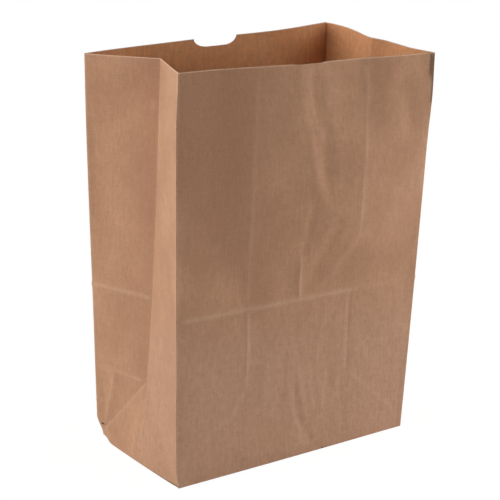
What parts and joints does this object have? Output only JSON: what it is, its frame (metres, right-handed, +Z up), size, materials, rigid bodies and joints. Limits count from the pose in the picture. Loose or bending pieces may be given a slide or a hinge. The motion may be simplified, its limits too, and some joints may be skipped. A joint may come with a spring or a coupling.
{
  "type": "brown paper bag",
  "caption": "Tall kraft paper bag standing open, with side gussets, a folded square bottom and a thumb notch in the back edge.",
  "frame": {"origin": "centre of the base, on the surface the bag stands on", "axes": "+Z up towards the mouth, -Y out of the plain front panel, +X along the front panel to the right as seen from the front"},
  "size_m": [0.3269, 0.2017, 0.4498],
  "materials": {
    "kraft_paper": "matte unbleached kraft, soft creases"
  },
  "bodies": {
    "root": {"paper_bag": "kraft_paper"}
  },
  "joints": []
}
